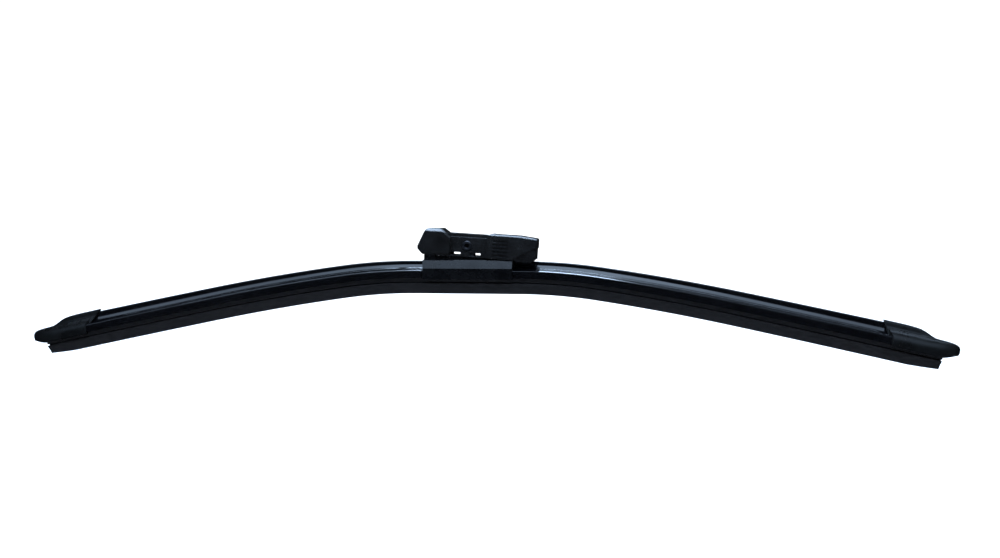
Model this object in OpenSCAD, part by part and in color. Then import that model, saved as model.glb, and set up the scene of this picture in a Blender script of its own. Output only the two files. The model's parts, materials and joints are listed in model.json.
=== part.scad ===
// Flat wiper blade with a rocking arm adapter. All sizes in millimetres.
// Frame: origin on the pivot axis, X along the blade, Y across it, Z away from the glass.

/* [Blade] */
// Length of the blade along its curve, tip to tip
blade_l = 550; // [450:5:650]
// Height of the pivot axis above the middle of the rails
pin_h = 17.5; // [17.4:0.05:18]
// Straight half-length under the connector
flat_l = 30; // [29:0.5:36]
// Turn of the tight arc beside the connector, in degrees
arc1_deg = 8.3; // [7:0.1:10]
// Radius of the tight arc
arc1_r = 311; // [280:1:400]
// Turn of the middle arc, in degrees
arc2_deg = 3.53; // [2.4:0.01:3.8]
// Radius of the middle arc
arc2_r = 1299; // [1000:1:2000]
// Radius of the outer arc, up to the tip
arc3_r = 11000; // [3000:1:12000]

/* [Rails] */
// Thickness of a spring rail
rail_t = 1.0; // [0.8:0.05:1.1]
// Distance from the middle to the inner edge of a rail
rail_in = 1.2; // [1.15:0.05:1.4]
// Distance from the middle to the outer edge of a rail
rail_out = 4.5; // [4.2:0.05:4.55]
// Distance from the blade tip to the end of a rail
rail_end = 7.6; // [7.2:0.1:9]
// Depth of the cap latch notch in a rail
notch_d = 0.7; // [0.4:0.1:1]

/* [Wiping rubber] */
// Distance from the blade tip to the end of the rubber
rubber_end = 8.5; // [8:0.1:10]
// Depth of the wiping lip below the middle of the rails
lip_h = 10.4; // [9.5:0.1:11]
// Half width of the head above the rails
head_hw = 2.6; // [2.3:0.05:2.65]
// Top of the head
head_top = 1.75; // [1.4:0.05:1.8]
// Half width of the shoulder under the rails
shoulder_hw = 2.7; // [2.4:0.05:2.75]
// Bottom of the shoulder
shoulder_bot = 3.4; // [2.8:0.1:3.4]
// Half width of the hinge neck
neck_hw = 0.55; // [0.4:0.05:0.7]
// Bottom of the hinge neck, top of the wedge
neck_bot = 4.1; // [4:0.1:4.6]
// Half width of the wedge at its top
wedge_hw = 2.8; // [2.5:0.05:3]
// Half width of the lip edge
lip_hw = 0.35; // [0.3:0.05:0.5]
// How much shallower the lip is at its ends
lip_rise = 1.3; // [0:0.1:1.5]
// Length over which the lip gets shallower
lip_soft = 17; // [8:0.5:30]

/* [Spoilers] */
// Clearance between the connector cover and a spoiler
cover_gap = 0.15; // [0.1:0.05:0.5]
// Distance from the blade tip to the outer end of a spoiler
spoiler_end = 28.5; // [28:0.5:34]
// Height of the fin above the middle of the rails, beside the connector
fin_h = 8.7; // [8.4:0.1:8.8]
// How much higher the fin stands at the end caps
fin_rise = 1.2; // [0:0.1:1.3]
// Distance from the middle of the blade to where the fin begins to rise
fin_flat = 42; // [41.5:0.5:80]
// Half width of the spoiler
spoiler_hw = 5.4; // [5.3:0.02:5.42]
// Thickness of the claw under the rail
claw_t = 0.65; // [0.5:0.05:0.7]

/* [End caps] */
// Length of an end cap
cap_l = 43; // [40:0.5:46]
// How much further inboard the top of the mouth reaches
cap_slant = 6.3; // [3:0.1:7]
// Half width of the cap
cap_hw = 6.75; // [6.6:0.05:7]
// Height of the hump
hump_h = 11.1; // [10.4:0.1:11.4]
// Height of the beak
beak_h = 6.9; // [6.6:0.1:7.1]
// Distance of the cap's lower edge below the middle of the rails
cap_low = 2.2; // [2:0.1:2.4]
// Clearance between the cap and what it holds
cap_gap = 0.12; // [0.1:0.01:0.15]

/* [Connector] */
// Half length of the connector cover, at most the straight half-length
cover_hl = 26; // [25.5:0.1:27]
// Height of the cover's sloped side bar at its top
bar_top = 9.5; // [9.2:0.02:9.52]
// Height of the side bar at its lower edge
bar_low = 4.5; // [4:0.1:5]
// Half width of the side bar at its lower edge
bar_hw = 7.5; // [7.4:0.05:7.8]
// Half width of the side bar at its top
bar_top_hw = 6.2; // [6:0.05:6.5]
// Half width of the raised platform
plat_hw = 5.1; // [4.9:0.05:5.15]
// Height of the raised platform
plat_h = 11.6; // [11:0.1:11.7]
// Height of the two end blocks of the platform
block_h = 13.1; // [12:0.1:13.4]
// Steel thickness of the bracket
steel_t = 1.2; // [1:0.05:1.25]
// Half width of a bracket ear at the pivot
ear_hw = 3.4; // [3.2:0.05:3.5]

/* [Pivot] */
// Radius of the tubular rivet
rivet_r = 2.25; // [2.1:0.05:2.4]
// Radius of the hole through the rivet
rivet_hole_r = 1.0; // [0.8:0.05:1.2]
// Radius of the rivet heads
rivet_head_r = 2.95; // [2.8:0.05:3.1]
// Thickness of a rivet head
rivet_head_t = 0.7; // [0.5:0.05:0.9]
// Radial running clearance of the rivet in the ears
run_gap = 0.05; // [0.03:0.01:0.08]
// Tail-down lean of the adapter at rest, in degrees
lean = 3.6; // [3:0.1:3.6]

/* [Adapter] */
// Half width of the waist
waist_hw = 6.5; // [6.4:0.05:6.6]
// Wall thickness of the adapter channel
wall_t = 1.15; // [1:0.05:1.2]
// Half width of the nose
nose_hw = 8.5; // [8:0.1:8.8]
// Half width of the grip cover
grip_hw = 7.7; // [7.6:0.05:8]
// Length of the adapter from the pivot to its tail
tail_x = 40; // [39:0.1:41.2]
// Length of the adapter from the pivot to its nose
nose_x = 29.1; // [28:0.1:30]
// Height of the waist top above the pivot
waist_top = 6.9; // [6.6:0.05:7]
// Depth of the adapter's lower edge below the pivot
low_edge = 6.3; // [6:0.05:6.3]
// Height of the see-through windows
window_h = 1.75; // [1.4:0.05:1.8]
// Length of the see-through windows
window_l = 6.1; // [5:0.1:6.1]
// Number of grip ribs on each side
rib_n = 5; // [4:1:6]

/* [Hidden] */
half_l = blade_l / 2;
// slopes of the beam at the ends of its arcs, in degrees
th1 = arc1_deg;
th2 = arc1_deg + arc2_deg;
s1 = flat_l + arc1_r * th1 * PI / 180;
s2 = s1 + arc2_r * arc2_deg * PI / 180;
// end points of the arcs
x1 = flat_l + arc1_r * sin(th1);
z1 = -arc1_r * (1 - cos(th1));
x2 = x1 + arc2_r * (sin(th2) - sin(th1));
z2 = z1 - arc2_r * (cos(th1) - cos(th2));
// each arc: start, end, radius, start slope, start x, start z
ARCS = [
  [flat_l, s1, arc1_r, 0, flat_l, 0],
  [s1, s2, arc2_r, th1, x1, z1],
  [s2, half_l, arc3_r, th2, x2, z2]
];
rail_top = rail_t / 2;
cap_s = half_l - cap_l / 2;
spoiler_start = cover_hl + cover_gap;
bracket_hl = cover_hl - 3;
// height at which the fin begins
fin_root = 4.5;
inner_hw = waist_hw - wall_t;
ear_out = 4.1;
// end of the nose toward the pivot
nose_in = 9.7;
// end of the adapter body inside the grip cover
body_x = tail_x - 1.2;
black = [0.05, 0.05, 0.055];
steel = [0.6, 0.6, 0.62];
grey = [0.16, 0.165, 0.175];

function slope_in(g, s) = g[3] + (s - g[0]) / g[2] * 180 / PI;
function arc_at(s) = s <= ARCS[0][1] ? ARCS[0] : s <= ARCS[1][1] ? ARCS[1] : ARCS[2];
function turn_at(s) = s <= flat_l ? 0 : slope_in(arc_at(s), s);
function x_at(s) = s <= flat_l ? s : arc_x(arc_at(s), turn_at(s));
function z_at(s) = s <= flat_l ? 0 : arc_z(arc_at(s), turn_at(s));
function arc_x(g, t) = g[4] + g[2] * (sin(t) - sin(g[3]));
function arc_z(g, t) = g[5] - g[2] * (cos(g[3]) - cos(t));
function ring(cx, cy, r, a0, a1, n) = [for (i = [0:n])
  let (a = a0 + (a1 - a0) * i / n) [cx + r * cos(a), cy + r * sin(a)]];
function flip(p) = [for (i = [len(p) - 1:-1:0]) [-p[i][0], p[i][1]]];
function turned(p) = [for (i = [len(p) - 1:-1:0]) p[i]];

// a section point (y, height) of the beam at arc length s
function on_beam(s, p) =
  let (t = sign(s) * turn_at(abs(s)))
  [sign(s) * x_at(abs(s)) + p[1] * sin(t), p[0], z_at(abs(s)) + p[1] * cos(t)];

// places of the sections between two arc lengths, closer together where the beam turns more
arc_steps = concat(
  [for (i = [0:6]) flat_l + (s1 - flat_l) * i / 6],
  [for (i = [1:4]) s1 + (s2 - s1) * i / 4],
  [for (i = [1:6]) s2 + (half_l - s2) * i / 6]
);
all_steps = concat([for (i = [len(arc_steps) - 1:-1:0]) -arc_steps[i]], arc_steps);
function steps(sa, sb) = concat([sa], [for (s = all_steps) if (s > sa + 1 && s < sb - 1) s], [sb]);

function end_part(a, b, n) = concat([for (i = [a:b]) i], [for (i = [n - 1 - b:n - 1 - a]) i]);

// closed skin over sections of n points each, which run the same way round; a symmetrical end is
// filled in parts, from point a to point b of its first half and back along the other half
module skin(points, n, parts = []) {
  m = len(points) / n;
  sides = [for (j = [0:m - 2]) for (i = [0:n - 1])
    let (a = j * n + i, b = j * n + (i + 1) % n, c = (j + 1) * n + (i + 1) % n, d = (j + 1) * n + i)
    each [[a, d, c], [a, c, b]]];
  ends = len(parts) == 0 ? [[for (i = [0:n - 1]) i]] : [for (g = parts) end_part(g[0], g[1], n)];
  last = [for (e = ends) [for (i = [len(e) - 1:-1:0]) (m - 1) * n + e[i]]];
  polyhedron(points = points, faces = concat(ends, last, sides), convexity = 8);
}

// a profile of (y, height) points, anticlockwise from the right end, carried along the beam
module sweep(sa, sb, profile) {
  skin([for (s = steps(sa, sb)) for (p = profile) on_beam(s, p)], len(profile));
}

// straight run of a profile along X
module run(xa, xb) {
  translate([xa, 0, 0])
    rotate([90, 0, 90])
      linear_extrude(height = xb - xa)
        children();
}

// places a child at arc length s, turned with the beam
module at_s(s) {
  translate([x_at(s), 0, z_at(s)])
    rotate([0, turn_at(s), 0])
      children();
}

// a plate with an (x, z) outline, between two y values
module slab(ya, yb) {
  translate([0, yb, 0])
    rotate([90, 0, 0])
      linear_extrude(height = yb - ya)
        children();
}

module blade_frame() {
  translate([0, 0, -pin_h]) children();
}

module adapter_frame() {
  rotate([0, lean, 0]) children();
}

// depth of the wedge's upper corner
wedge_top = neck_bot + 0.6;

// half of the rubber outline, from the lip up to the head
rubber_half = [
  [lip_hw, -lip_h], [0.75, -9.1], [1.3, -7.6], [1.95, -6.1], [wedge_hw - 0.1, -5.0], [wedge_hw, -wedge_top],
  [wedge_hw, -neck_bot - 0.1], [wedge_hw - 0.1, -neck_bot], [neck_hw + 0.15, -neck_bot],
  [neck_hw, -neck_bot + 0.2], [neck_hw, -shoulder_bot - 0.2], [neck_hw + 0.15, -shoulder_bot],
  [shoulder_hw - 0.25, -shoulder_bot], [shoulder_hw, -shoulder_bot + 0.25], [shoulder_hw, -rail_top - 0.02],
  [rail_in - 0.03, -rail_top - 0.02], [rail_in - 0.03, rail_top + 0.02], [head_hw, rail_top + 0.02],
  [head_hw, head_top - 0.3], [head_hw - 0.3, head_top]
];

// wedge, neck, shoulder, web and head of the rubber's end
rubber_parts = [[0, 8], [8, 9], [9, 10], [10, 11], [11, 15], [15, 16], [16, 19]];

// lift of the lip at arc length s, and a section point lifted by it
lip_start = half_l - rubber_end - lip_soft;
function lip_up(s) = lip_rise * pow(max(0, abs(s) - lip_start) / lip_soft, 1.3);
function pressed(s, p) = [p[0], p[1] + lip_up(s) * max(0, -p[1] - wedge_top) / (lip_h - wedge_top)];

module wiping_rubber() {
  outline = concat(rubber_half, flip(rubber_half));
  outer = [for (i = [0:2]) lip_start + lip_soft * i / 2];
  inner = [for (s = all_steps) if (abs(s) < lip_start - 1) s];
  stops = concat([for (i = [2:-1:0]) -outer[i]], inner, outer);
  color(black)
    blade_frame()
      skin([for (s = stops) for (p = outline) on_beam(s, pressed(s, p))], len(outline), rubber_parts);
}

rail_edge = 0.12;
rail_section = [
  [rail_in + rail_edge, -rail_top], [rail_out - rail_edge, -rail_top], [rail_out, -rail_top + rail_edge],
  [rail_out, rail_top - rail_edge], [rail_out - rail_edge, rail_top], [rail_in + rail_edge, rail_top],
  [rail_in, rail_top - rail_edge], [rail_in, -rail_top + rail_edge]
];

// back rail, with the latch notch of each cap in its outer edge
module rail_back() {
  color(steel)
    blade_frame()
      difference() {
        sweep(rail_end - half_l, half_l - rail_end, rail_section);
        rail_notch();
        mirror([1, 0, 0]) rail_notch();
      }
}

module rail_notch() {
  at_s(half_l - 15)
    translate([-1.6, rail_out - notch_d, -2])
      cube([3.2, 3, 4]);
}

module rail_front() {
  mirror([0, 1, 0]) rail_back();
}

// spoiler outline, front is at minus y: wall, flare edge, hollow slope, fin, back
wall_low = -rail_top - claw_t;
spoiler_outline = concat(
  [[-3.5, -rail_top], [-3.5, wall_low + 0.15], [-3.65, wall_low], [-spoiler_hw + 0.45, wall_low]],
  [[-spoiler_hw + 0.15, wall_low + 0.3], [-spoiler_hw + 0.15, 0.2], [-spoiler_hw, 0.35]],
  ring(-spoiler_hw + 0.6, 2.95, 0.6, 180, 98, 5),
  ring(-2.62, 6.9, 3.0, 262, 282, 3),
  ring(-3.9, 7.6, 4.2, 314, 353, 7),
  ring(0.9, fin_h - 0.6, 0.6, 175, 5, 8),
  [[1.65, 7.2], [2.1, 5.7], [2.9, 4.4], [4.0, 3.1], [4.9, 2.2], [spoiler_hw - 0.1, 1.6]],
  [[spoiler_hw, 1.2], [spoiler_hw, 0.35], [spoiler_hw - 0.15, 0.2], [spoiler_hw - 0.15, wall_low + 0.3]],
  [[spoiler_hw - 0.45, wall_low], [3.65, wall_low], [3.5, wall_low + 0.15], [3.5, -rail_top]]
);

// inside of the spoiler: rail slots and the head channel, with a hollow chamber above
spoiler_inside = [
  [rail_out + 0.04, -rail_top], [rail_out + 0.04, rail_top], [head_hw + 0.12, rail_top],
  [head_hw + 0.12, head_top + 0.12], [-head_hw - 0.12, head_top + 0.12], [-head_hw - 0.12, rail_top],
  [-rail_out - 0.04, rail_top], [-rail_out - 0.04, -rail_top]
];

spoiler_chamber = [[-2.6, 2.75], [2.6, 2.75], [1.3, 4.6], [0.75, 5.8], [0.1, 4.6], [-1.0, 3.5]];

// rise of the fin at arc length s, and a section point lifted by it
function fin_up(s) = fin_rise * max(0, min(1, (s - fin_flat) / (half_l - cap_l - fin_flat)));
function lifted(s, p) = [p[0], p[1] + max(0, p[1] - fin_root) * fin_up(s) / (fin_h - fin_root)];

module spoiler_right() {
  sb = half_l - spoiler_end;
  outline = turned(concat(spoiler_outline, spoiler_inside));
  color(black)
    blade_frame()
      difference() {
        skin([for (s = steps(spoiler_start, sb)) for (p = outline) on_beam(s, lifted(s, p))], len(outline));
        sweep(spoiler_start - 1, sb + 1, spoiler_chamber);
      }
}

module spoiler_left() {
  mirror([1, 0, 0]) spoiler_right();
}

// End cap. Its section is swept over stations, given as distance from the tip.
// Station: distance, mouth slant share, fin drop share, width share, height share, low edge.
cap_stations = [
  [cap_l, 1.00, 0.00, 1.000, 1.00, 0.0], [cap_l - 1, 1.00, 0.00, 1.008, 1.00, 0.0],
  [37.0, 0.55, 0.00, 1.008, 1.00, 0.0], [33.0, 0.15, 0.00, 1.008, 1.00, 0.0],
  [29.0, 0.00, 0.02, 1.008, 1.00, 0.0], [25.0, 0.00, 0.07, 1.005, 1.00, 0.0],
  [22.0, 0.00, 0.17, 1.000, 1.00, 0.0], [19.5, 0.00, 0.35, 0.990, 1.00, 0.0],
  [17.5, 0.00, 0.56, 0.980, 1.00, 0.0], [15.5, 0.00, 0.78, 0.965, 1.00, 0.0],
  [13.5, 0.00, 0.94, 0.945, 1.00, 0.0], [11.0, 0.00, 1.00, 0.900, 1.00, 0.0],
  [9.0, 0.00, 1.00, 0.850, 0.99, 0.15], [7.0, 0.00, 1.00, 0.785, 0.97, 0.7],
  [5.0, 0.00, 1.00, 0.700, 0.93, 1.4], [3.2, 0.00, 1.00, 0.600, 0.86, 2.1],
  [1.8, 0.00, 1.00, 0.480, 0.75, 2.6], [0.7, 0.00, 1.00, 0.340, 0.55, 2.9], [0.0, 0.00, 1.00, 0.180, 0.28, 2.95]
];
cap_section = concat(
  [[-cap_hw + 0.5, -cap_low], [cap_hw - 0.5, -cap_low], [cap_hw - 0.12, -cap_low + 0.2]],
  [[cap_hw, -cap_low + 0.6], [cap_hw, 0.9], [cap_hw - 0.2, 2.0], [5.9, 3.2], [4.9, 4.5], [3.85, 5.8], [3.2, 7.2]],
  [[2.75, 9.9], [2.5, 10.5], [2.0, hump_h - 0.06], [1.25, hump_h], [0.5, hump_h - 0.06], [0.0, 10.5]],
  [[-0.25, 9.9], [-0.5, 8.4], [-0.75, 7.75], [-1.2, 7.2], [-1.9, 6.8], [-3.0, 6.35], [-4.2, 5.6]],
  [[-5.2, 4.6], [-5.95, 3.4], [-6.4, 2.1], [-cap_hw, 0.5], [-cap_hw, -cap_low + 0.6], [-cap_hw + 0.12, -cap_low + 0.2]]
);
cap_mid = 3.4;

// height of a section point after the fin has fallen by share f
function fin_drop(h, f) = h > beak_h ? h - (h - beak_h) * f * 0.985 : h;
function cap_point(st, p) =
  let (h = fin_drop(p[1], st[2]),
       up = h > cap_mid ? (h - cap_mid) * st[4] : (h - cap_mid) * (st[4] > 0.99 ? 1 : st[4]),
       hh = max(cap_mid + up, -cap_low + st[5] - (p[1] + cap_low < 0.3 ? 0 : -0.02 * (p[1] + cap_low))),
       lean_in = (hump_h - max(p[1], 3.3)) / (hump_h - 3.3) * cap_slant * st[1])
  [cap_l / 2 - st[0] + lean_in, p[0] * st[3], p[1] < cap_mid ? min(hh, cap_mid - 0.02 * (cap_mid - p[1])) : hh];

module cap_shell() {
  skin([for (st = cap_stations) for (p = cap_section) cap_point(st, p)], len(cap_section));
}

// room for the spoiler end, with clearance all round
module cap_spoiler_room() {
  g = cap_gap;
  polygon([for (p = [
    [-spoiler_hw - g, wall_low - g], [spoiler_hw + g, wall_low - g], [spoiler_hw + g, 1.3], [5.5, 1.8],
    [5.1, 2.4], [4.1, 3.35], [3.0, 4.6], [2.2, 5.9], [1.78, 7.3], [1.6, fin_h + g], [0.2, fin_h + g],
    [0.1, 7.0], [-0.3, 5.7], [-1.2, 4.5], [-2.0, 4.05], [-4.6, 3.75], [-5.2, 3.6], [-spoiler_hw - g, 3.15]
  ]) lifted(half_l, p)]);
}

module cap_right_local() {
  open_x = -cap_l / 2 - 1;
  rail_x = cap_l / 2 - rail_end + 0.6;
  difference() {
    cap_shell();
    run(open_x, cap_l / 2 - spoiler_end + 0.5) cap_spoiler_room();
    run(open_x, rail_x)
      polygon([[-rail_out - cap_gap, -rail_top - cap_gap], [rail_out + cap_gap, -rail_top - cap_gap],
               [rail_out + cap_gap, rail_top + cap_gap], [-rail_out - cap_gap, rail_top + cap_gap]]);
    run(open_x, rail_x)
      polygon([[-head_hw - 0.12, 0], [head_hw + 0.12, 0], [head_hw + 0.12, head_top + 0.12],
               [-head_hw - 0.12, head_top + 0.12]]);
    run(open_x, rail_x)
      polygon([[-shoulder_hw - 0.2, -4], [shoulder_hw + 0.2, -4], [shoulder_hw + 0.2, 0], [-shoulder_hw - 0.2, 0]]);
  }
  cap_latch();
  mirror([0, 1, 0]) cap_latch();
}

// tooth that stands in the rail's notch
module cap_latch() {
  translate([cap_l / 2 - 15 - 1.4, rail_out - notch_d + 0.1, -rail_top - 0.4])
    cube([2.8, notch_d + 0.3, rail_t + 0.8]);
}

module end_cap_right() {
  color(black)
    blade_frame()
      at_s(cap_s)
        cap_right_local();
}

module end_cap_left() {
  mirror([1, 0, 0]) end_cap_right();
}

// pressed steel bracket: hat section over the rails, claws under them, two ears for the rivet
module bracket() {
  out = rail_out + 0.15 + steel_t;
  inn = rail_out + 0.15;
  ch = head_hw + 0.3;
  low = -rail_top - 1.1;
  color(steel)
    blade_frame() {
      difference() {
        run(-bracket_hl, bracket_hl)
          polygon([
            [-out, low], [-inn, low], [-inn, rail_top], [-ch, rail_top], [-ch, head_top + 0.25], [ch, head_top + 0.25],
            [ch, rail_top], [inn, rail_top], [inn, low], [out, low], [out, rail_top + steel_t - 0.4],
            [out - 0.4, rail_top + steel_t], [ear_out, rail_top + steel_t], [ear_out, 3.2], [-ear_out, 3.2],
            [-ear_out, rail_top + steel_t], [-out + 0.4, rail_top + steel_t], [-out, rail_top + steel_t - 0.4]
          ]);
        translate([-7, -20, -5]) cube([14, 40, 5.2]);
      }
      bracket_claws(low, inn);
      mirror([1, 0, 0]) bracket_claws(low, inn);
      bracket_ear();
      mirror([0, 1, 0]) bracket_ear();
    }
}

module bracket_claws(low, inn) {
  for (k = [-1, 1])
    translate([8, k > 0 ? 3.3 : -inn - 0.3, low])
      cube([13, inn + 0.3 - 3.3, -rail_top - low]);
}

module bracket_ear() {
  difference() {
    slab(ear_out - steel_t, ear_out)
      polygon(concat(
        [[-7, 3.0], [7, 3.0], [7, 4.8], [ear_hw, 7.6]],
        ring(0, pin_h, ear_hw, 0, 180, 24),
        [[-ear_hw, 7.6], [-7, 4.8]]
      ));
    translate([0, 0, pin_h])
      rotate([90, 0, 0])
        cylinder(h = 40, r = rivet_r + run_gap, center = true, $fn = 48);
  }
}

// moulded cover over the bracket: dark skirt, sloped side bar, raised platform with end blocks
module connector_cover() {
  skirt = 7.15;
  low = -rail_top - 1.2;
  out = cover_hl - 0.6;
  color(grey)
    blade_frame()
      difference() {
        union() {
          run(-cover_hl, cover_hl)
            polygon([
              [-skirt + 0.25, low], [skirt - 0.25, low], [skirt, low + 0.25], [skirt, bar_low - 0.35],
              [bar_hw, bar_low], [bar_top_hw, bar_top - 0.2], [bar_top_hw - 0.2, bar_top],
              [-bar_top_hw + 0.2, bar_top], [-bar_top_hw, bar_top - 0.2], [-bar_hw, bar_low],
              [-skirt, bar_low - 0.35], [-skirt, low + 0.25]
            ]);
          slab(-plat_hw, plat_hw)
            polygon([
              [-out, 9], [out, 9], [out, block_h - 0.8], [out - 0.8, block_h], [out - 5.4, block_h],
              [out - 6.4, plat_h], [6.4 - out, plat_h], [5.4 - out, block_h], [0.8 - out, block_h],
              [-out, block_h - 0.8]
            ]);
        }
        // chamber for the bracket, opening downwards
        run(-bracket_hl - 0.4, bracket_hl + 0.4)
          polygon([
            [-5.95, -3], [5.95, -3], [5.95, 2.1], [5.6, 3.0], [5.2, 8.0], [-5.2, 8.0], [-5.6, 3.0], [-5.95, 2.1]
          ]);
        // way through for the rails and the rubber
        run(-cover_hl - 1, cover_hl + 1)
          polygon([
            [-rail_out - 0.1, -rail_top - 0.05], [-3.4, -rail_top - 0.05], [-3.4, -3], [3.4, -3],
            [3.4, -rail_top - 0.05], [rail_out + 0.1, -rail_top - 0.05], [rail_out + 0.1, rail_top + 0.05],
            [head_hw + 0.15, rail_top + 0.05], [head_hw + 0.15, head_top + 0.15],
            [-head_hw - 0.15, head_top + 0.15], [-head_hw - 0.15, rail_top + 0.05],
            [-rail_out - 0.1, rail_top + 0.05]
          ]);
        // slot for the ears
        translate([-ear_hw - 0.4, -ear_out - 0.3, 7]) cube([2 * ear_hw + 0.8, 2 * ear_out + 0.6, 10]);
        // left half of the side bars stands a little lower
        for (k = [-1, 1])
          translate([-cover_hl - 1, k > 0 ? plat_hw : -20, bar_top - 0.3]) cube([cover_hl - 7, 20 - plat_hw, 1]);
      }
}

// tubular rivet, heads flared outside the waist walls
module pivot_rivet() {
  a = waist_hw;
  b = waist_hw + rivet_head_t;
  color(steel)
    rotate([90, 0, 0])
      rotate_extrude($fn = 64)
        polygon([
          [rivet_hole_r, -b + 0.5], [rivet_hole_r + 0.5, -b], [rivet_head_r - 0.35, -b], [rivet_head_r, -b + 0.35],
          [rivet_head_r, -a], [rivet_r, -a], [rivet_r, a], [rivet_head_r, a], [rivet_head_r, b - 0.35],
          [rivet_head_r - 0.35, b], [rivet_hole_r + 0.5, b], [rivet_hole_r, b - 0.5]
        ]);
}

// nose block: side outline, plan outline and end view cut each other
module nose_block() {
  intersection() {
    slab(-nose_hw, nose_hw)
      polygon([
        [-nose_x, -1.6], [-nose_x + 0.1, -3.3], [-25.4, -low_edge], [-nose_in, -low_edge], [-nose_in, 4.9],
        [-15.4, 9.25], [-23.2, 8.8], [-24.3, 8.3]
      ]);
    translate([0, 0, -20])
      linear_extrude(height = 40)
        polygon([
          [-nose_x - 1, -5.0], [-25.6, -nose_hw + 0.15], [-24.6, -nose_hw], [-nose_in, -nose_hw],
          [-nose_in, nose_hw], [-24.6, nose_hw], [-25.6, nose_hw - 0.15], [-nose_x - 1, 5.0]
        ]);
    run(-40, 0)
      polygon([
        [-nose_hw + 1.2, -20], [-nose_hw + 1.2, -5.9], [-nose_hw, -4.7], [-nose_hw, 6.4], [-nose_hw + 0.25, 7.4],
        [-nose_hw + 1.9, 9.0], [-nose_hw + 1.9, 20], [nose_hw - 1.9, 20], [nose_hw - 1.9, 9.0],
        [nose_hw - 0.25, 7.4], [nose_hw, 6.4], [nose_hw, -4.7], [nose_hw - 1.2, -5.9], [nose_hw - 1.2, -20]
      ]);
  }
}

// middles of the two windows
window_x = [-6.6, 5.0];

module adapter_body() {
  color(black)
    adapter_frame() {
      difference() {
        union() {
          nose_block();
          slab(-waist_hw, waist_hw)
            polygon([
              [-12, -low_edge], [27.4, -low_edge], [28.4, -low_edge - 0.8], [body_x - 1.4, -low_edge - 0.8],
              [body_x - 0.4, -low_edge], [body_x, -5.3], [body_x, 6.0], [body_x - 0.6, 6.5], [12.2, 6.5],
              [11.6, waist_top], [-12, waist_top]
            ]);
        }
        // channel over the connector, open below
        slab(-inner_hw, inner_hw)
          polygon([
            [-26.2, -10], [42, -10], [42, 5.2], [12, 5.2], [11, 5.6], [-22.6, 5.6], [-26.2, -1.2]
          ]);
        // see-through windows beside the pivot
        for (x = window_x)
          translate([x - window_l / 2, -20, -3.75 - window_h])
            cube([window_l, 40, window_h]);
        rotate([90, 0, 0])
          cylinder(h = 40, r = rivet_r + 0.02, center = true, $fn = 48);
        // shallow step round the waist's top edge
        for (k = [-1, 1])
          translate([-nose_in, k > 0 ? waist_hw - 0.3 : -waist_hw - 5, 5.0]) cube([21, 5.3, 5]);
      }
      adapter_boss();
      mirror([0, 1, 0]) adapter_boss();
    }
}

// ring inside the waist wall that keeps the ears centred
module adapter_boss() {
  difference() {
    translate([0, inner_hw + 0.2, 0])
      rotate([90, 0, 0])
        cylinder(h = inner_hw + 0.2 - ear_out - 0.15, r = 3.2, $fn = 48);
    rotate([90, 0, 0])
      cylinder(h = 40, r = rivet_r + 0.02, center = true, $fn = 48);
  }
}

// ribbed cover over the tail, with a squeeze pad on each side
module grip_cover() {
  skin = waist_hw + 0.05;
  grip_in = body_x + 0.1;
  bevel = 1.3;
  color(black)
    adapter_frame()
      difference() {
        union() {
          slab(-grip_hw, grip_hw)
            polygon([
              [11.4, -low_edge], [25.6, -low_edge], [tail_x - 1, 1.1], [tail_x, 1.1], [tail_x, 6.0], [tail_x - 0.7, 6.7],
              [30, 7.65], [17, 7.7], [13.6, 7.8], [12.4, 7.2], [11.4, 6.1]
            ]);
          slab(-waist_hw, waist_hw)
            polygon([[grip_in, -5.2], [tail_x - 0.3, -5.2], [tail_x - 0.3, 2], [grip_in, 2]]);
        }
        // room for the adapter body's tail
        slab(-skin, skin)
          polygon([[11, -10], [grip_in, -10], [grip_in, 6.55], [11, 6.55]]);
        // edge bevels along the top
        for (k = [-1, 1]) {
          translate([20.5, k * grip_hw, 7.75])
            rotate([45, 0, 0])
              cube([20, bevel, bevel], center = true);
          translate([35.6, k * grip_hw, 7.2])
            rotate([0, 5.2, 0])
              rotate([45, 0, 0])
                cube([14, bevel, bevel], center = true);
        }
        grip_slots();
        mirror([0, 1, 0]) grip_slots();
      }
}

module grip_slots() {
  pitch = 10.2 / rib_n;
  for (i = [0:rib_n - 1])
    translate([0, 0, -4.9 + i * pitch])
      slab(grip_hw - 0.7, grip_hw + 1)
        polygon([[14.9, 0], [23.2, 0], [24.0, pitch * 0.28], [23.2, pitch * 0.56], [14.9, pitch * 0.56]]);
}

wiping_rubber();
rail_front();
rail_back();
spoiler_left();
spoiler_right();
end_cap_left();
end_cap_right();
bracket();
connector_cover();
pivot_rivet();
adapter_body();
grip_cover();
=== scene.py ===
"""Wiper blade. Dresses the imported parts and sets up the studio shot."""

import json
import math

import bpy
from mathutils import Matrix, Vector

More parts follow.
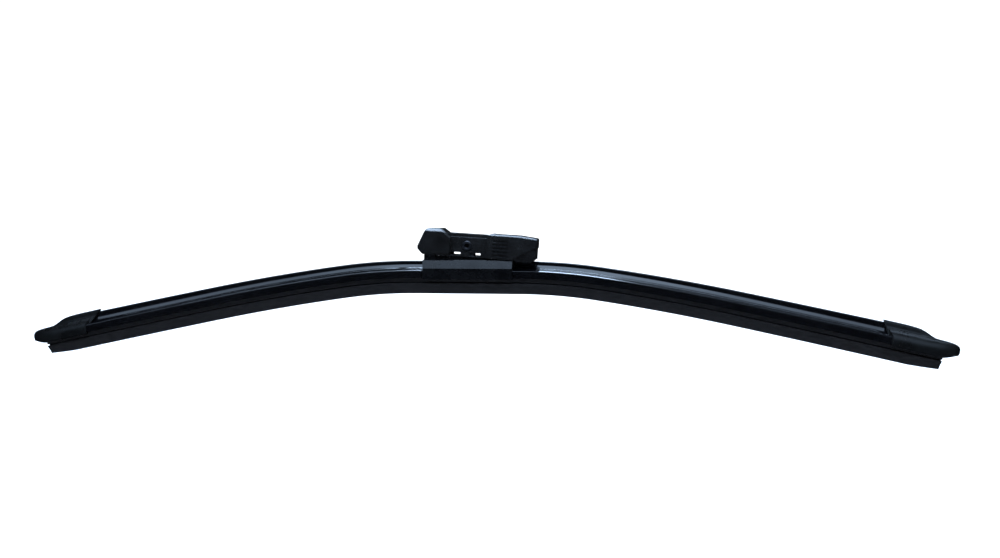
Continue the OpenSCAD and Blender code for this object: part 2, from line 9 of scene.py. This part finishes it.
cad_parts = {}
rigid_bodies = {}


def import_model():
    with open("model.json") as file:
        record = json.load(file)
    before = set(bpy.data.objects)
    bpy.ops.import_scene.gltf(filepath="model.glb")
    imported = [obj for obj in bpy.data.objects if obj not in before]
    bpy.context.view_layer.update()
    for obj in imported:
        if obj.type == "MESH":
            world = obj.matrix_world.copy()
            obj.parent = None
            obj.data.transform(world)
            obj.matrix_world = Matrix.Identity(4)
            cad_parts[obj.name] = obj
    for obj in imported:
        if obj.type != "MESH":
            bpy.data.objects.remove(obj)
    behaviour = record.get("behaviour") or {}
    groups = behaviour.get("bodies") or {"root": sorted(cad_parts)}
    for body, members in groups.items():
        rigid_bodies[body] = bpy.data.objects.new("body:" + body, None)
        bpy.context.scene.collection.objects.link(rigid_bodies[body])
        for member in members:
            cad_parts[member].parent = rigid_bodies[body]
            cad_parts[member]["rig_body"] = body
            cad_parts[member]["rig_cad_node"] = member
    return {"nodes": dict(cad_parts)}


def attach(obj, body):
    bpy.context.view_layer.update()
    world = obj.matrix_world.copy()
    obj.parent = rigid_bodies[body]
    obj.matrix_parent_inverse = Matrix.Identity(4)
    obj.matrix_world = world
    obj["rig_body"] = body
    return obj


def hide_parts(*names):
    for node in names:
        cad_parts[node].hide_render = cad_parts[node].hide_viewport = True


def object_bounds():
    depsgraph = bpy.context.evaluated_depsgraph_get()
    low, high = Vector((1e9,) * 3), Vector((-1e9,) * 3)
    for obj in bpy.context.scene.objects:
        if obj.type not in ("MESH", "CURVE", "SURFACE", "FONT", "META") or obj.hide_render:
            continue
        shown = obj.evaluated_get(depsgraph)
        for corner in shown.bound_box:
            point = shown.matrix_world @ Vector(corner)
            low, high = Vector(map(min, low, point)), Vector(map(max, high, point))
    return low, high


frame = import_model()
cad_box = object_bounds()

MM = 0.001

# Sizes are written in millimetres and turns in degrees, up to the studio at the end

# Beam of the blade, along its curve from the pivot: the pivot's height over the rails, the flat
# middle, then the turn and radius of each arc
PIN_H = 17.5
FLAT_L = 30.0
HALF_L = 275.0
ARCS = ((8.3, 311.0), (3.53, 1299.0), (30.0, 11000.0))
RUBBER_END = 8.5
SPOILER_START = 26.15
SPOILER_END = 28.5
CAP_L = 43.0

# Steps between sections: through the tighter arc, and along the rest
BEND_STEP = 4.5
BEND_STEPS = 11
LONG_STEP = 9.0
LONG_STEPS = 22

# Section of rails, rubber lip and spoiler. The lip gets shallower and the fin taller outwards.
RAIL_TOP = 0.5
RAIL_OUT = 4.5
RUNNING_GAP = 0.04
LIP_H = 10.4
LIP_ROOT = 4.7
LIP_RISE = 1.3
LIP_SOFT = 17.0
LIP_STEPS = 5
FIN_H = 8.7
FIN_ROOT = 4.5
FIN_RISE = 1.2
FIN_FLAT = 42.0
SPOILER_HW = 5.4

# Adapter in its own upright frame: its lean at rest, the slope behind the nose from its top to
# the waist, how far out the waist's sides are, and the edge of the window beside the nose
LEAN = math.radians(3.6)
NOSE_SLOPE = ((-15.4, 9.25), (-9.7, 4.9))
NOSE_CORNER = 0.9
WAIST_SIDE = 6.55
CORNER_RUN = 2.0
WINDOW_EDGE = -9.65
WINDOW_MOVE = 0.25

# Top of the left cap's hump: what lies right of and over this place reaches further over the fin
HUMP_FROM = (-234.0, -44.6)
HUMP_REACH = Vector((2.6, 0.0, 0.62)) * MM

# Vertices nearer than this are one vertex
WELD = 0.002 * MM


def beam_at(s):
    """x and z in millimetres and slope in radians of the rails' middle at arc length s."""
    side = -1.0 if s < 0 else 1.0
    left = abs(s) - FLAT_L
    x = min(abs(s), FLAT_L)
    z = 0.0
    slope = 0.0
    for degrees, radius in ARCS:
        if left <= 0:
            break
        turn = min(math.radians(degrees), left / radius)
        x += radius * (math.sin(slope + turn) - math.sin(slope))
        z -= radius * (math.cos(slope) - math.cos(slope + turn))
        slope += turn
        left -= radius * turn
    return side * x, z - PIN_H, side * slope


def beam_point(s, y, h):
    """A point of the section (y across, h above the rails' middle) at arc length s, in metres."""
    x, z, slope = beam_at(s)
    return Vector((x + h * math.sin(slope), y, z + h * math.cos(slope))) * MM


def beam_steps(start, end):
    """Arc lengths of the sections from start to end, closer where the beam turns more."""
    bend = [FLAT_L + BEND_STEP * i for i in range(BEND_STEPS)]
    rest = [bend[-1] + LONG_STEP * (i + 1) for i in range(LONG_STEPS)]
    places = sorted([-s for s in bend + rest] + bend + rest)
    inner = [s for s in places if start + 1.0 < s < end - 1.0]
    return [start] + inner + [end]


def arc_points(cy, cz, radius, first, last, count):
    """Points of a round stretch of an outline."""
    angles = [math.radians(first + (last - first) * i / count) for i in range(count + 1)]
    return [(cy + radius * math.cos(a), cz + radius * math.sin(a)) for a in angles]


def object_mode():
    if bpy.context.object and bpy.context.object.mode != "OBJECT":
        bpy.ops.object.mode_set(mode="OBJECT")


def draw_line(name, points):
    """A new mesh object in edit mode, with a line drawn point by point in metres."""
    object_mode()
    bpy.ops.object.select_all(action="DESELECT")
    bpy.ops.mesh.primitive_plane_add(size=MM)
    piece = bpy.context.object
    piece.name = name
    piece.data.name = name
    bpy.ops.object.mode_set(mode="EDIT")
    bpy.ops.mesh.select_mode(type="VERT")
    bpy.ops.mesh.select_all(action="SELECT")
    bpy.ops.mesh.merge(type="CENTER")
    bpy.ops.transform.translate(value=points[0])
    for a, b in zip(points, points[1:]):
        bpy.ops.mesh.extrude_vertices_move(TRANSFORM_OT_translate={"value": b - a})
    bpy.ops.mesh.select_all(action="SELECT")
    return piece


def draw_outline(name, points):
    """A closed outline with its face, left selected."""
    piece = draw_line(name, points)
    bpy.ops.mesh.edge_face_add()
    bpy.ops.mesh.select_mode(type="FACE")
    return piece


def carry_along_beam(stops):
    """Extrudes the selected face from section to section of the beam."""
    for a, b in zip(stops, stops[1:]):
        xa, za, slope_a = beam_at(a)
        xb, zb, slope_b = beam_at(b)
        move = Vector((xb - xa, 0.0, zb - za)) * MM
        bpy.ops.mesh.extrude_region_move(TRANSFORM_OT_translate={"value": move})
        bpy.ops.transform.rotate(
            value=slope_a - slope_b,
            orient_axis="Y",
            center_override=(xb * MM, 0.0, zb * MM),
        )


def soften_shading(piece, angle):
    """Shades edges under the angle as round, and keeps large faces flat beside them."""
    object_mode()
    bpy.ops.object.shade_smooth_by_angle(angle=math.radians(angle))
    bpy.context.view_layer.objects.active = piece
    weighted = piece.modifiers.new("even_normals", "WEIGHTED_NORMAL")
    weighted.keep_sharp = True
    weighted.weight = 80
    bpy.ops.object.modifier_apply(modifier="even_normals")


def sweep(name, outline, stops):
    """An extrusion of the outline along the beam through the stops."""
    start = stops[0]
    piece = draw_outline(name, [beam_point(start, y, h) for y, h in outline])
    carry_along_beam(stops)
    bpy.ops.mesh.select_all(action="SELECT")
    bpy.ops.mesh.remove_doubles(threshold=WELD)
    bpy.ops.mesh.normals_make_consistent(inside=False)
    soften_shading(piece, 35.0)
    return piece


def lip_stretch(s):
    """How much of its full depth the lip has at arc length s."""
    share = max(0.0, abs(s) - (HALF_L - RUBBER_END - LIP_SOFT)) / LIP_SOFT
    return 1.0 - LIP_RISE * share ** 1.3 / (LIP_H - LIP_ROOT)


def fin_stretch(s):
    """How much taller than beside the connector the fin is at arc length s."""
    share = (abs(s) - FIN_FLAT) / (HALF_L - CAP_L - FIN_FLAT)
    return 1.0 + FIN_RISE * max(0.0, min(1.0, share)) / (FIN_H - FIN_ROOT)


def stretch_sections(piece, stops, amount, root, side):
    """Stretches what lies beyond the root height, section by section, by the amount at each place."""
    object_mode()
    ends = [beam_at(s) for s in stops]
    nearest = []
    for vertex in piece.data.vertices:
        x, _, z = vertex.co / MM
        nearest.append(min(range(len(stops)), key=lambda i: abs(along_gap(x, z, ends[i]))))
    for i, s in enumerate(stops):
        if amount(s) == 1.0:
            continue
        bpy.ops.object.mode_set(mode="EDIT")
        bpy.ops.mesh.select_mode(type="VERT")
        bpy.ops.mesh.select_all(action="DESELECT")
        object_mode()
        x, z, slope = ends[i]
        for vertex, at in zip(piece.data.vertices, nearest):
            vertex.select = at == i and side * (height_above(vertex.co, ends[i]) - root) > 0.01
        bpy.ops.object.mode_set(mode="EDIT")
        up = (math.sin(slope), 0.0, math.cos(slope))
        along = (math.cos(slope), 0.0, -math.sin(slope))
        bpy.ops.transform.resize(
            value=(1.0, 1.0, amount(s)),
            orient_type="GLOBAL",
            orient_matrix=(along, (0.0, 1.0, 0.0), up),
            orient_matrix_type="GLOBAL",
            center_override=beam_point(s, 0.0, root),
        )
    object_mode()


def along_gap(x, z, place):
    """Distance along the beam from a place to the point x, z."""
    return (x - place[0]) * math.cos(place[2]) - (z - place[1]) * math.sin(place[2])


def height_above(point, place):
    """Height of a point above the rails' middle at a place of the beam, in millimetres."""
    x, _, z = point / MM
    return (x - place[0]) * math.sin(place[2]) + (z - place[1]) * math.cos(place[2])


def mirrored(outline):
    """The other half of an outline that is drawn from bottom to top."""
    return [(-y, h) for y, h in reversed(outline)]


def rubber_outline():
    """Section of the rubber from lip to head: across and height, from the rails' middle."""
    lip = [(0.35, -LIP_H), (0.72, -9.2), (1.15, -8.0), (1.65, -6.8), (2.25, -5.7), (2.7, -5.05)]
    wedge = [(2.8, -4.75), (2.8, -4.25), (2.68, -4.1), (0.75, -4.1), (0.58, -3.95)]
    neck = [(0.55, -3.75), (0.58, -3.55), (0.75, -3.4)]
    shoulder = [(2.45, -3.4), (2.62, -3.32), (2.7, -3.15), (2.7, -0.52)]
    rail_groove = [(1.17, -0.52), (1.17, 0.52)]
    head = [(2.6, 0.52), (2.6, 1.45), (2.3, 1.75)]
    half = lip + wedge + neck + shoulder + rail_groove + head
    return half + mirrored(half)


def spoiler_outline():
    """Section of the spoiler, round from its hollow front: across and height, as for the rubber."""
    hw = SPOILER_HW
    low = -RAIL_TOP - 0.65
    slot = RAIL_OUT + RUNNING_GAP
    points = [(-3.5, -RAIL_TOP), (-3.5, low + 0.15), (-3.65, low), (-hw + 0.45, low)]
    # front of the claw, set back a little, and the front wall over it
    points += [(-hw + 0.2, low + 0.12), (-hw + 0.15, low + 0.3), (-hw + 0.15, 0.15)]
    points += [(-hw + 0.02, 0.32), (-hw, 2.85)]
    # flared edge, with the small chamfer that shows as a bright line
    points += [(-hw + 0.01, 3.0), (-hw + 0.05, 3.1), (-hw + 0.48, 3.46), (-hw + 0.58, 3.52)]
    points += [(-hw + 0.7, 3.55)]
    # hollow front up to the fin, and the fin's round top
    points += arc_points(-2.62, 6.9, 3.0, 262, 282, 5)
    points += arc_points(-3.9, 7.6, 4.2, 314, 353, 12)
    points += arc_points(0.9, FIN_H - 0.6, 0.6, 175, 5, 10)
    # back, which sags down to the rear edge
    points += [(1.58, 7.6), (1.75, 6.8), (2.1, 5.7), (2.5, 4.95), (2.95, 4.3), (3.5, 3.6)]
    points += [(4.1, 2.95), (4.8, 2.25), (5.15, 1.85), (hw - 0.06, 1.5), (hw, 1.2)]
    points += [(hw - 0.02, 0.32), (hw - 0.15, 0.15), (hw - 0.15, low + 0.3)]
    points += [(hw - 0.2, low + 0.12), (hw - 0.45, low), (3.65, low), (3.5, low + 0.15)]
    # inside: claws under the rails, and the room over the rubber's head
    points += [(3.5, -RAIL_TOP), (slot, -RAIL_TOP), (slot, RAIL_TOP), (2.72, RAIL_TOP)]
    points += [(2.72, 1.87), (-2.72, 1.87), (-2.72, RAIL_TOP), (-slot, RAIL_TOP)]
    points += [(-slot, -RAIL_TOP)]
    return list(reversed(points))


def copy_flipped(piece, name):
    """A copy on the other half of the blade, with its own mesh."""
    object_mode()
    bpy.ops.object.select_all(action="DESELECT")
    piece.select_set(True)
    bpy.context.view_layer.objects.active = piece
    bpy.ops.object.duplicate()
    twin = bpy.context.object
    twin.name = name
    twin.data.name = name
    bpy.ops.object.mode_set(mode="EDIT")
    bpy.ops.mesh.select_all(action="SELECT")
    bpy.ops.transform.resize(value=(-1, 1, 1), center_override=(0, 0, 0))
    bpy.ops.mesh.normals_make_consistent(inside=False)
    object_mode()
    return twin


def in_adapter(point):
    """A point in the adapter's own upright frame, in millimetres."""
    x, y, z = point / MM
    return (x * math.cos(LEAN) - z * math.sin(LEAN), y, z * math.cos(LEAN) + x * math.sin(LEAN))


def off_slope(point):
    """Distance of a point of the adapter from the slope behind its nose, in millimetres."""
    (xa, za), (xb, zb) = NOSE_SLOPE
    x, _, z = in_adapter(point)
    run = math.hypot(xb - xa, zb - za)
    return abs((x - xa) * (zb - za) - (z - za) * (xb - xa)) / run


def shape_adapter(piece):
    """Frees the window beside the nose and breaks the corners of the nose's slope."""
    object_mode()
    for vertex in piece.data.vertices:
        vertex.select = abs(in_adapter(vertex.co)[0] - WINDOW_EDGE) < 0.01
    bpy.ops.object.mode_set(mode="EDIT")
    bpy.ops.transform.translate(value=(WINDOW_MOVE * MM, 0.0, 0.0))
    bpy.ops.mesh.select_all(action="DESELECT")
    bpy.ops.mesh.select_mode(type="EDGE")
    object_mode()
    points = [v.co for v in piece.data.vertices]
    for edge in piece.data.edges:
        a, b = (points[i] for i in edge.vertices)
        on_slope = off_slope(a) < 0.02 and off_slope(b) < 0.02
        outside = min(abs(a.y), abs(b.y)) > WAIST_SIDE * MM and abs(a.y - b.y) < CORNER_RUN * MM
        edge.select = on_slope and outside
    bpy.ops.object.mode_set(mode="EDIT")
    bpy.ops.mesh.bevel(offset=NOSE_CORNER * MM, segments=1, affect="EDGES")


def reach_hump(piece):
    """Draws the top of the left cap's hump a little further over the fin."""
    object_mode()
    for vertex in piece.data.vertices:
        vertex.select = vertex.co.x > HUMP_FROM[0] * MM and vertex.co.z > HUMP_FROM[1] * MM
    bpy.ops.object.mode_set(mode="EDIT")
    bpy.ops.transform.translate(value=HUMP_REACH)


def softened_copy(node_name, width, segments=2, angle=25.0, shape=None):
    """The named part with its edges rounded as a mould leaves them, after shape has changed it."""
    name = node_name + "_skin"
    object_mode()
    bpy.ops.object.select_all(action="DESELECT")
    node = frame["nodes"][node_name]
    node.select_set(True)
    bpy.context.view_layer.objects.active = node
    bpy.ops.object.duplicate()
    piece = bpy.context.object
    # the copy is a new piece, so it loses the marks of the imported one
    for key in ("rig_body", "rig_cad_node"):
        if key in piece:
            del piece[key]
    piece.parent = None
    piece.name = name
    piece.data.name = name
    bpy.ops.object.mode_set(mode="EDIT")
    bpy.ops.mesh.select_all(action="SELECT")
    bpy.ops.mesh.remove_doubles(threshold=WELD)
    bpy.ops.mesh.dissolve_limited(angle_limit=math.radians(1.0))
    bpy.ops.mesh.select_all(action="DESELECT")
    if shape:
        shape(piece)
    object_mode()
    bevel = piece.modifiers.new("edge_round", "BEVEL")
    bevel.width = width * MM
    bevel.segments = segments
    bevel.limit_method = "ANGLE"
    bevel.angle_limit = math.radians(angle)
    bevel.harden_normals = False
    bpy.ops.object.modifier_apply(modifier="edge_round")
    soften_shading(piece, 40.0)
    return piece


# Materials

def new_material(name, colour, roughness, specular=0.5):
    """A plain material to build on, with its tree and its shader."""
    mat = bpy.data.materials.new(name)
    mat.use_nodes = True
    shader = mat.node_tree.nodes["Principled BSDF"]
    shader.inputs["Base Color"].default_value = (*colour, 1.0)
    shader.inputs["Roughness"].default_value = roughness
    shader.inputs["Specular IOR Level"].default_value = specular
    return mat, mat.node_tree, shader


def noise(tree, scale, detail=3.0, stretch=(1.0, 1.0, 1.0)):
    """Noise in the piece's own coordinates; scale is in cycles a metre."""
    coords = tree.nodes.new("ShaderNodeTexCoord")
    mapping = tree.nodes.new("ShaderNodeMapping")
    mapping.inputs["Scale"].default_value = stretch
    tree.links.new(coords.outputs["Object"], mapping.inputs["Vector"])
    texture = tree.nodes.new("ShaderNodeTexNoise")
    texture.inputs["Scale"].default_value = scale
    texture.inputs["Detail"].default_value = detail
    tree.links.new(mapping.outputs["Vector"], texture.inputs["Vector"])
    return texture.outputs["Fac"]


def spread(tree, source, low, high):
    """Maps the middle of a texture's range onto low to high."""
    node = tree.nodes.new("ShaderNodeMapRange")
    node.inputs["From Min"].default_value = 0.3
    node.inputs["From Max"].default_value = 0.7
    node.inputs["To Min"].default_value = low
    node.inputs["To Max"].default_value = high
    tree.links.new(source, node.inputs["Value"])
    return node.outputs["Result"]


def two_tones(tree, source, dark, light):
    """A colour that goes from dark to light with a texture."""
    ramp = tree.nodes.new("ShaderNodeValToRGB")
    ramp.color_ramp.elements[0].position = 0.35
    ramp.color_ramp.elements[0].color = (*dark, 1.0)
    ramp.color_ramp.elements[1].position = 0.65
    ramp.color_ramp.elements[1].color = (*light, 1.0)
    tree.links.new(source, ramp.inputs["Fac"])
    return ramp.outputs["Color"]


def bump(tree, shader, source, height, strength):
    """Relief of the given height in millimetres."""
    node = tree.nodes.new("ShaderNodeBump")
    node.inputs["Distance"].default_value = height * MM
    node.inputs["Strength"].default_value = strength
    tree.links.new(source, node.inputs["Height"])
    tree.links.new(node.outputs["Normal"], shader.inputs["Normal"])


def spoiler_material():
    """Smooth black extrusion with a satin gloss that changes slowly along it."""
    mat, tree, shader = new_material("spoiler_black", (0.0022, 0.0022, 0.0026), 0.2)
    blotches = noise(tree, 60.0, 4.0)
    tone = two_tones(tree, blotches, (0.0016, 0.0016, 0.002), (0.0028, 0.0028, 0.0034))
    tree.links.new(tone, shader.inputs["Base Color"])
    tree.links.new(spread(tree, blotches, 0.1, 0.15), shader.inputs["Roughness"])
    bump(tree, shader, noise(tree, 2400.0, 2.0), 0.0008, 0.5)
    return mat


def rubber_material():
    """Matte black rubber with a chalky grain."""
    mat, tree, shader = new_material("wiping_rubber", (0.005, 0.005, 0.005), 0.6, 0.2)
    grain = noise(tree, 900.0, 5.0, (0.25, 1.0, 1.0))
    tone = two_tones(tree, grain, (0.0072, 0.006, 0.0062), (0.0112, 0.0095, 0.0096))
    tree.links.new(tone, shader.inputs["Base Color"])
    tree.links.new(spread(tree, grain, 0.52, 0.68), shader.inputs["Roughness"])
    bump(tree, shader, grain, 0.02, 0.7)
    return mat


def moulded_material(name, dark, light, roughness, grain_height, specular=0.5):
    """Injection-moulded plastic: fine spark grain, slow change of tone and gloss."""
    mat, tree, shader = new_material(name, light, roughness, specular)
    slow = noise(tree, 90.0, 3.0)
    tree.links.new(two_tones(tree, slow, dark, light), shader.inputs["Base Color"])
    gloss = spread(tree, slow, roughness - 0.06, roughness + 0.06)
    tree.links.new(gloss, shader.inputs["Roughness"])
    bump(tree, shader, noise(tree, 4200.0, 2.0), grain_height, 0.7)
    return mat


def cap_material():
    """The dullest of the mouldings."""
    dark = (0.0025, 0.0025, 0.0025)
    light = (0.0042, 0.0042, 0.0042)
    return moulded_material("cap_plastic", dark, light, 0.29, 0.004, specular=0.16)


def cover_material():
    """Coarser and a little darker, for the paler side bar that leans towards the light."""
    dark = (0.0016, 0.0016, 0.002)
    light = (0.0026, 0.0026, 0.003)
    return moulded_material("cover_plastic", dark, light, 0.27, 0.005, specular=0.4)


def adapter_material():
    """The finest grain and the most gloss of the mouldings, slightly warm."""
    dark = (0.0044, 0.0042, 0.0042)
    light = (0.0074, 0.0071, 0.0071)
    return moulded_material("adapter_plastic", dark, light, 0.22, 0.003)


def steel_material(name, dark, light, roughness):
    """Bare or plated steel strip, brushed along the blade."""
    mat, tree, shader = new_material(name, light, roughness)
    shader.inputs["Metallic"].default_value = 1.0
    streaks = noise(tree, 3000.0, 3.0, (0.03, 1.0, 1.0))
    tree.links.new(two_tones(tree, streaks, dark, light), shader.inputs["Base Color"])
    gloss = spread(tree, streaks, roughness - 0.08, roughness + 0.08)
    tree.links.new(gloss, shader.inputs["Roughness"])
    bump(tree, shader, streaks, 0.003, 0.5)
    return mat


def paper_material():
    """Matt white paper with a faint unevenness."""
    mat, tree, shader = new_material("pale_paper", (0.74, 0.74, 0.74), 0.9, 0.1)
    fibres = noise(tree, 700.0, 3.0)
    tone = two_tones(tree, fibres, (0.73, 0.73, 0.73), (0.75, 0.75, 0.75))
    tree.links.new(tone, shader.inputs["Base Color"])
    return mat


def paint(piece, mat):
    """Gives the piece this one material."""
    piece.data.materials.clear()
    piece.data.materials.append(mat)


# The pieces. Each function gives rows of piece, body, the part it stands for and its slot.

def make_rubber():
    reach = HALF_L - RUBBER_END
    lip_stops = [reach - LIP_SOFT + LIP_SOFT * i / LIP_STEPS for i in range(LIP_STEPS + 1)]
    stops = [s for s in beam_steps(-reach, reach) if abs(s) < lip_stops[0] - 1.0]
    stops = [-s for s in reversed(lip_stops)] + stops + lip_stops
    rubber = sweep("rubber_profile", rubber_outline(), stops)
    stretch_sections(rubber, stops, lip_stretch, -LIP_ROOT, -1.0)
    paint(rubber, rubber_material())
    return [(rubber, "blade", "wiping_rubber", "rubber")]


def make_spoilers():
    black = spoiler_material()
    stops = beam_steps(SPOILER_START, HALF_L - SPOILER_END)
    right = sweep("spoiler_right_skin", spoiler_outline(), stops)
    stretch_sections(right, stops, fin_stretch, FIN_ROOT, 1.0)
    left = copy_flipped(right, "spoiler_left_skin")
    paint(right, black)
    paint(left, black)
    return [(right, "blade", "spoiler_right", "spoiler"), (left, "blade", "spoiler_left", "spoiler")]


def make_end_caps():
    plastic = cap_material()
    made = []
    for node, shape in (("end_cap_left", reach_hump), ("end_cap_right", None)):
        cap = softened_copy(node, 0.12, segments=1, angle=50.0, shape=shape)
        paint(cap, plastic)
        made.append((cap, "blade", node, "cap"))
    return made


def make_cover():
    cover = softened_copy("connector_cover", 0.18)
    paint(cover, cover_material())
    return [(cover, "blade", "connector_cover", "cover")]


def make_adapter():
    plastic = adapter_material()
    made = []
    for node, slot, shape in (("adapter_body", "adapter", shape_adapter), ("grip_cover", "grip", None)):
        piece = softened_copy(node, 0.22, shape=shape)
        paint(piece, plastic)
        made.append((piece, "adapter", node, slot))
    return made


def make_pieces():
    made = make_rubber() + make_spoilers() + make_end_caps() + make_cover() + make_adapter()
    for piece, body, node, slot in made:
        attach(piece, body)
        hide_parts(node)


def dress_steel():
    """Steel for the rails, the bracket and the rivet, which keep their own shapes."""
    spring = steel_material("spring_steel", (0.30, 0.31, 0.33), (0.42, 0.43, 0.45), 0.35)
    plated = steel_material("plated_steel", (0.22, 0.22, 0.24), (0.32, 0.32, 0.34), 0.45)
    rivet = steel_material("rivet_black", (0.03, 0.03, 0.033), (0.055, 0.055, 0.06), 0.42)
    paint(frame["nodes"]["rail_front"], spring)
    paint(frame["nodes"]["rail_back"], spring)
    paint(frame["nodes"]["bracket"], plated)
    paint(frame["nodes"]["pivot_rivet"], rivet)


# Studio, in metres and degrees

# Camera as in the photograph
IMAGE_W = 1000
FOCAL_PX = 1040.0
SENSOR_W = 36.0
CAMERA_AZIMUTH = 7.82
CAMERA_ELEVATION = 4.0
CAMERA_ROLL = -0.12
CAMERA_DISTANCE = 0.600
CAMERA_TARGET = Vector((18.16, 0.0, -19.19)) * MM


def make_camera():
    """Camera that sees the blade as the photograph does, given by its turn around the target."""
    azimuth = math.radians(CAMERA_AZIMUTH)
    elevation = math.radians(CAMERA_ELEVATION)
    roll = math.radians(CAMERA_ROLL)
    flat = math.cos(elevation)
    back = Vector((math.sin(azimuth) * flat, -math.cos(azimuth) * flat, math.sin(elevation)))
    right = Vector((0.0, 0.0, 1.0)).cross(back).normalized()
    up = back.cross(right)
    level_right, level_up = right, up
    right = level_right * math.cos(roll) + level_up * math.sin(roll)
    up = level_up * math.cos(roll) - level_right * math.sin(roll)
    turn = Matrix((right, up, back)).transposed()
    data = bpy.data.cameras.new("photo_camera")
    data.sensor_width = SENSOR_W
    data.lens = FOCAL_PX / IMAGE_W * SENSOR_W
    data.clip_start = 0.01
    camera = bpy.data.objects.new("photo_camera", data)
    camera.matrix_world = Matrix.Translation(CAMERA_TARGET + back * CAMERA_DISTANCE) @ turn.to_4x4()
    bpy.context.scene.collection.objects.link(camera)
    bpy.context.scene.camera = camera


# Backdrop. The blade is held by its clip, and a tip dips by about 36 mm when it rocks, so the
# floor lies lower than that.
FLOOR_DROP = 0.040
FLOOR_FRONT = -2.4
FLOOR_BACK = 1.6
BEND_R = 0.8
WALL_TOP = 3.0
PAPER_HW = 3.0


def make_backdrop():
    """Pale floor that curves up into a wall behind the blade."""
    level = cad_box[0][2] - FLOOR_DROP
    bend = arc_points(FLOOR_BACK, level + BEND_R, BEND_R, -90, 0, 12)
    line = [(FLOOR_FRONT, level), (FLOOR_BACK, level)] + bend[1:] + [(FLOOR_BACK + BEND_R, WALL_TOP)]
    backdrop = draw_line("backdrop", [Vector((-PAPER_HW, y, z)) for y, z in line])
    across = (2 * PAPER_HW, 0.0, 0.0)
    bpy.ops.mesh.extrude_region_move(TRANSFORM_OT_translate={"value": across})
    object_mode()
    bpy.ops.object.shade_smooth()
    backdrop.data.materials.append(paper_material())
    # like a black flag in a studio: the floor isn't mirrored in the gloss of the blade's walls
    backdrop.visible_glossy = False


# Sky panels over the front: left and right edge, highest edge as an angle above the front horizon,
# and radiance. All begin at the same low edge. The narrower ones stand a step nearer, because in
# gloss a panel hides the one behind it.
SKY_PANELS = (
    (-1.4, 1.4, 74.0, 2.6),
    (-0.7, 0.68, 82.0, 1.0),
    (-0.48, 0.42, 90.0, 1.6),
    (-0.2, 0.25, 90.0, 1.3),
)
PANEL_LOW = 28.0
PANEL_AWAY = 1.34
PANEL_STEP = 0.04
SKY = (0.57, 0.75, 1.0)
WHITE = (1.0, 1.0, 1.0)


def area_light(name, place, aim, width, height, power, colour):
    """A soft flat lamp at a place, turned to where it aims, with its power in watts."""
    data = bpy.data.lights.new(name, "AREA")
    data.shape = "RECTANGLE"
    data.size = width
    data.size_y = height
    data.energy = power
    data.color = colour
    lamp = bpy.data.objects.new(name, data)
    lamp.location = place
    lamp.rotation_euler = (Vector(aim) - Vector(place)).to_track_quat("-Z", "Y").to_euler()
    bpy.context.scene.collection.objects.link(lamp)
    return lamp


def make_sky_panels():
    """One wide soft panel in front and above, made brighter toward its middle by narrower ones."""
    for i, (left, right, high, radiance) in enumerate(SKY_PANELS):
        middle = (left + right) / 2
        away = PANEL_AWAY - PANEL_STEP * i
        angle = math.radians((PANEL_LOW + high) / 2)
        height = 2 * away * math.tan(math.radians((high - PANEL_LOW) / 2))
        power = radiance * math.pi * (right - left) * height
        place = (middle, -away * math.cos(angle), away * math.sin(angle))
        area_light("sky_panel_%d" % i, place, (middle, 0.0, 0.0), right - left, height, power, SKY)


def make_lights():
    make_sky_panels()
    # weak light from overhead, for the foot of the spoiler's hollow
    area_light("top_panel", (-0.05, 0.38, 1.24), (-0.05, 0.0, 0.0), 0.7, 0.6, 0.7, SKY)
    # the bright line on the spoiler's flared edge and on the adapter's top edges
    area_light("top_strip", (-0.03, 0.1, 1.1), (-0.03, 0.0, 0.0), 0.54, 0.14, 14.0, SKY)
    # the ridge of the end caps
    area_light("back_panel", (0.0, 0.64, 1.36), (0.0, 0.0, 0.0), 2.86, 0.25, 18.0, SKY)
    # whitens the backdrop, and isn't mirrored in the gloss of the blade
    wall_light = area_light("wall_light", (0.0, 0.9, 1.9), (0.0, 2.3, 0.2), 4.4, 0.8, 115.0, WHITE)
    wall_light.visible_glossy = False


def set_world():
    world = bpy.data.worlds.new("studio")
    world.use_nodes = True
    background = world.node_tree.nodes["Background"]
    background.inputs["Color"].default_value = (0.9, 0.93, 1.0, 1.0)
    background.inputs["Strength"].default_value = 0.01
    bpy.context.scene.world = world
    bpy.context.scene.view_settings.view_transform = "Standard"


make_camera()
make_pieces()
dress_steel()
make_backdrop()
make_lights()
set_world()
